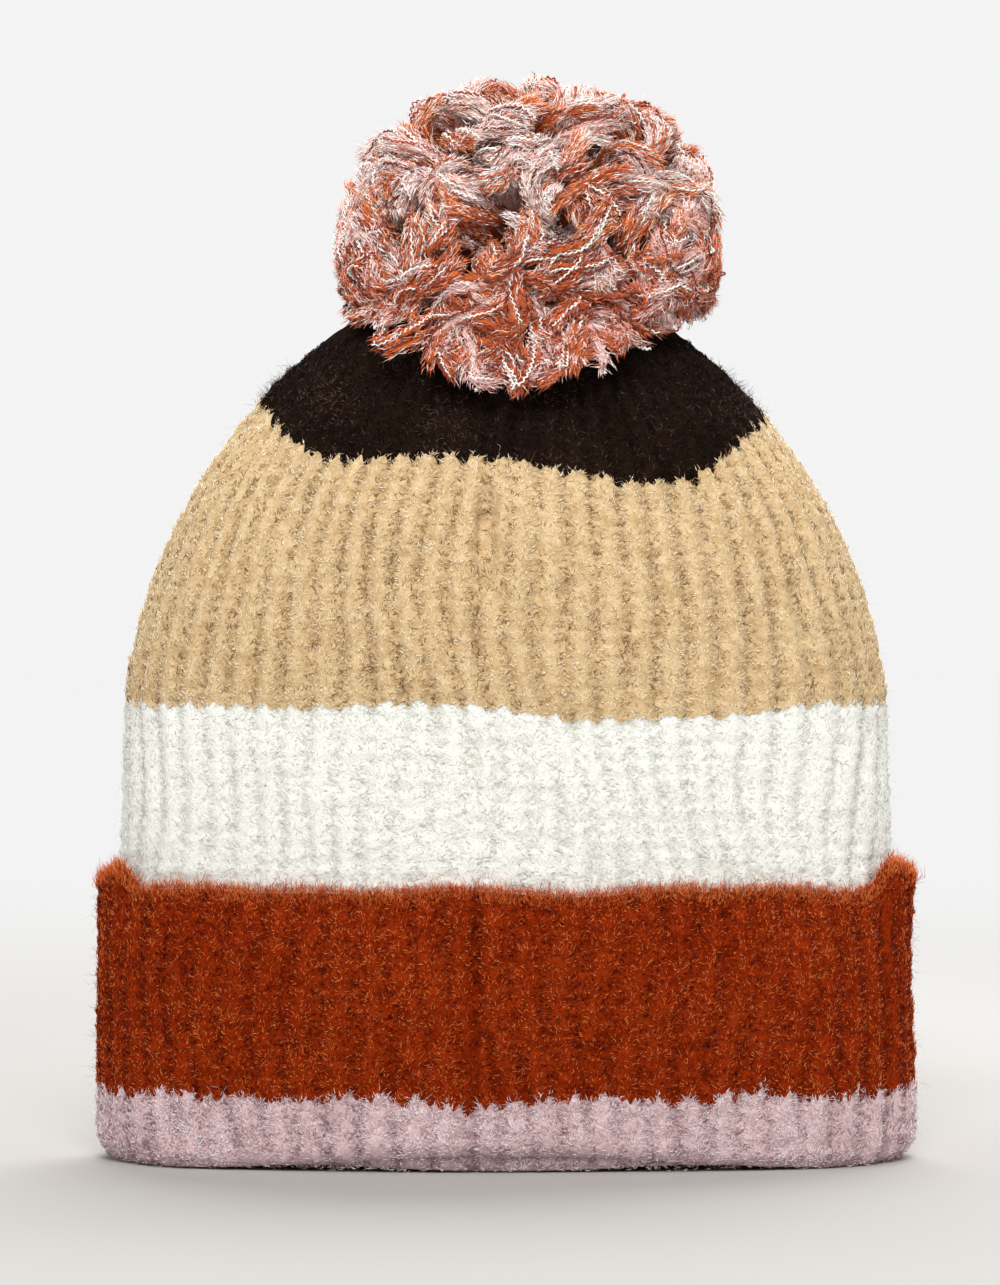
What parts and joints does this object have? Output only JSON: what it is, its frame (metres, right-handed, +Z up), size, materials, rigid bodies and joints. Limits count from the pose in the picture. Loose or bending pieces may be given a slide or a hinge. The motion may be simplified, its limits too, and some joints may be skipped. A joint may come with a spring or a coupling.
{
  "type": "pom pom beanie",
  "caption": "Striped knitted beanie with a turned-up cuff, a gathered crown and a fluffy pom on a short tie that twists and leans.",
  "frame": {"origin": "centre of the hat on the surface it stands on, at the bottom of the fold", "axes": "+Z up through the crown and the pom, -Y towards the viewer and the side with the seam, +X to the viewer's right"},
  "size_m": [0.22, 0.11, 0.2895],
  "materials": {
    "rust_yarn": "brushed, fuzzy knitting yarn",
    "lilac_yarn": "brushed, fuzzy knitting yarn",
    "white_yarn": "brushed, fuzzy knitting yarn",
    "tan_yarn": "brushed, fuzzy knitting yarn",
    "brown_yarn": "brushed, fuzzy knitting yarn",
    "tie_yarn": "brushed, fuzzy knitting yarn"
  },
  "bodies": {
    "hat": {"rust_cuff_stripe": "rust_yarn", "lilac_fold_stripe": "lilac_yarn", "white_stripe": "white_yarn", "tan_stripe": "tan_yarn", "brown_crown": "brown_yarn", "cuff_seam_yarn": "rust_yarn", "body_seam_yarn": "tan_yarn", "crown_gather_yarn": "brown_yarn"},
    "pom_tie": {"lower_pom_tufts": "lilac_yarn", "tie_wrap": "tie_yarn", "tie_tail_left": "tie_yarn", "tie_tail_right": "tie_yarn", "inside_knot": "tie_yarn"},
    "pom_shank": {"shank_knot": "tie_yarn"},
    "pom": {"pom_lilac_yarn": "lilac_yarn", "pom_rust_yarn": "rust_yarn", "pom_white_yarn": "white_yarn", "pom_brown_yarn": "brown_yarn", "pom_binding": "tie_yarn", "pom_hanging_loop": "tie_yarn"}
  },
  "joints": [
    {"name": "pom_swivel", "type": "hinge", "parent": "hat", "child": "pom_tie", "pos_m": [0, 0, 0.228], "axis": [0, 0, 1], "range_deg": [-40, 40]},
    {"name": "pom_nod", "type": "hinge", "parent": "pom_tie", "child": "pom_shank", "pos_m": [0, 0, 0.234], "axis": [1, 0, 0], "range_deg": [-10, 10], "stiffness_Nm_per_rad": 0.3},
    {"name": "pom_sway", "type": "hinge", "parent": "pom_shank", "child": "pom", "pos_m": [0, 0, 0.234], "axis": [0, 1, 0], "range_deg": [-10, 10], "stiffness_Nm_per_rad": 0.3, "springref_deg": -0.38}
  ]
}
